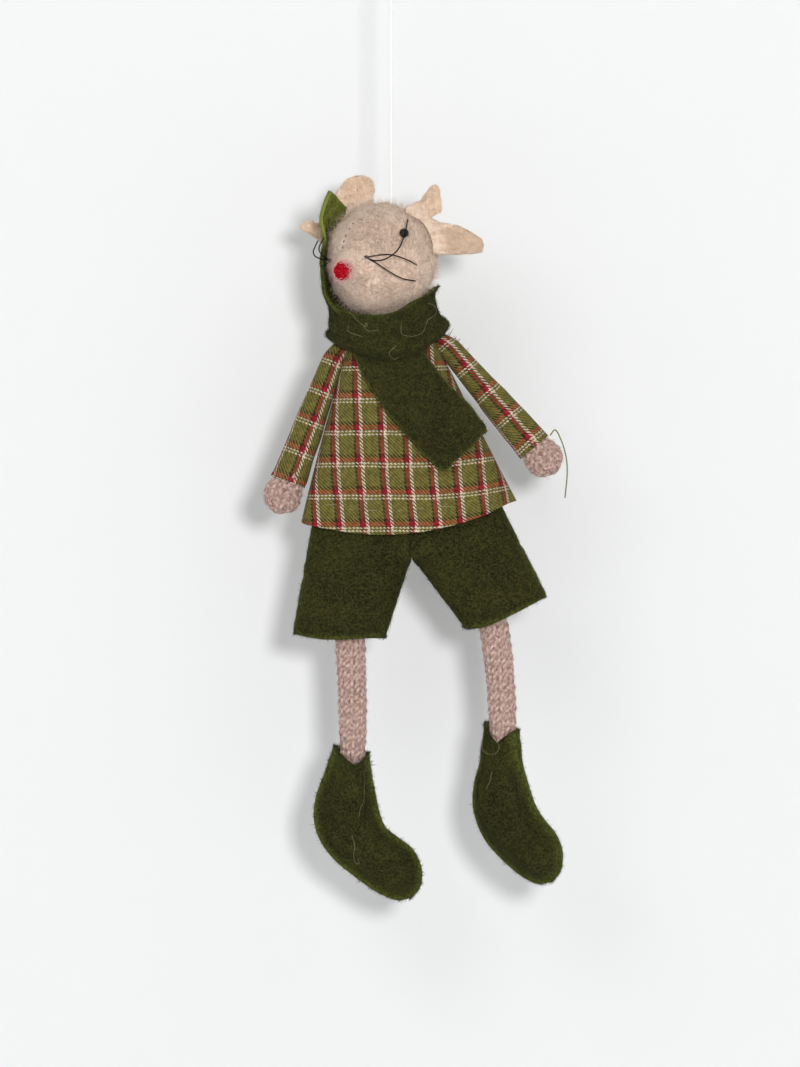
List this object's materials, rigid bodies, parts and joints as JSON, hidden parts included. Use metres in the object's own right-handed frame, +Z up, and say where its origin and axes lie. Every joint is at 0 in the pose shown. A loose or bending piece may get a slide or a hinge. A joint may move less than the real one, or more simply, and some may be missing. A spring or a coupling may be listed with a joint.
{
  "type": "hanging mouse ornament",
  "caption": "Cloth mouse that hangs from its head on a white cord: felt head and ears, plaid tunic, felt scarf, shorts and boots, knitted arms and legs.",
  "frame": {"origin": "where the hanging loop bears on its hook, at the top of the loop's inside", "axes": "+Z up along the hanging cord, the mouse's front faces -Y, its left is +X"},
  "size_m": [0.0846, 0.036, 0.2824],
  "materials": {
    "white_cord": "soft white twisted cotton cord",
    "heather_felt": "felted beige wool with pink and grey flecks",
    "wadding": "loose white fibre filling",
    "red_pompom": "fuzzy red wool pompom",
    "black_bead": "polished black bead",
    "dark_thread": "dark waxed thread",
    "peach_felt": "thin peach felt",
    "green_felt": "dark olive felt with lighter fuzzy edges",
    "plaid_cloth": "olive, brick and cream plaid in a plain weave",
    "pink_knit": "dusty pink knitted tube",
    "green_thread": "single green weaving thread"
  },
  "bodies": {
    "hanger": {"hanging_loop": "white_cord"},
    "cord": {"hanging_cord": "white_cord", "cord_anchor_knot": "white_cord"},
    "head": {"head_cover": "heather_felt", "head_filling": "wadding", "nose_pompom": "red_pompom", "eye_left": "black_bead", "eye_right": "black_bead", "whiskers_left": "dark_thread", "whiskers_right": "dark_thread", "ear_left": "peach_felt", "ear_right": "peach_felt", "scarf_back_tail": "green_felt"},
    "torso": {"torso": "wadding", "shirt_body": "plaid_cloth", "scarf_wrap": "green_felt", "shorts_front": "green_felt", "shorts_back": "green_felt"},
    "scarf_tail": {"scarf_front_tail": "green_felt"},
    "arm_left": {"sleeve_left": "plaid_cloth", "arm_left": "pink_knit", "cuff_thread": "green_thread"},
    "arm_right": {"sleeve_right": "plaid_cloth", "arm_right": "pink_knit"},
    "leg_left": {"leg_left": "pink_knit"},
    "leg_right": {"leg_right": "pink_knit"},
    "boot_left": {"boot_left_front": "green_felt", "boot_left_back": "green_felt", "boot_left_filling": "wadding"},
    "boot_right": {"boot_right_front": "green_felt", "boot_right_back": "green_felt", "boot_right_filling": "wadding"}
  },
  "joints": [
    {"name": "cord_swing", "type": "hinge", "parent": "hanger", "child": "cord", "pos_m": [0, 0, -0.01745], "axis": [0, 1, 0], "range_deg": [-25, 25]},
    {"name": "cord_spin", "type": "hinge", "parent": "cord", "child": "head", "pos_m": [0, 0, -0.08735], "axis": [0, 0, 1], "continuous": true},
    {"name": "neck_turn", "type": "hinge", "parent": "head", "child": "torso", "pos_m": [-0.0008, 0, -0.12029], "axis": [0, 0, 1], "range_deg": [-20, 20]},
    {"name": "scarf_tail_lift", "type": "hinge", "parent": "torso", "child": "scarf_tail", "pos_m": [0.00086, -0.01045, -0.13264], "axis": [-0.9911, 0, -0.1332], "range_deg": [0, 60]},
    {"name": "shoulder_left", "type": "hinge", "parent": "torso", "child": "arm_left", "pos_m": [0.01649, 0, -0.12854], "axis": [0, -1, 0], "range_deg": [-8, 45]},
    {"name": "shoulder_right", "type": "hinge", "parent": "torso", "child": "arm_right", "pos_m": [-0.01616, 0, -0.13174], "axis": [0, 1, 0], "range_deg": [0, 60]},
    {"name": "hip_left", "type": "hinge", "parent": "torso", "child": "leg_left", "pos_m": [0.02472, 0, -0.18792], "axis": [-1, 0, 0], "range_deg": [-30, 60], "deforming": ["shorts_front", "shorts_back"]},
    {"name": "hip_right", "type": "hinge", "parent": "torso", "child": "leg_right", "pos_m": [-0.0127, 0, -0.19159], "axis": [-1, 0, 0], "range_deg": [-30, 60], "deforming": ["shorts_front", "shorts_back"]},
    {"name": "ankle_left", "type": "hinge", "parent": "leg_left", "child": "boot_left", "pos_m": [0.03122, 0, -0.23572], "axis": [0, 0, 1], "range_deg": [-75, 65]},
    {"name": "ankle_right", "type": "hinge", "parent": "leg_right", "child": "boot_right", "pos_m": [-0.0107, 0, -0.23939], "axis": [0, 0, 1], "range_deg": [-100, 40]}
  ]
}
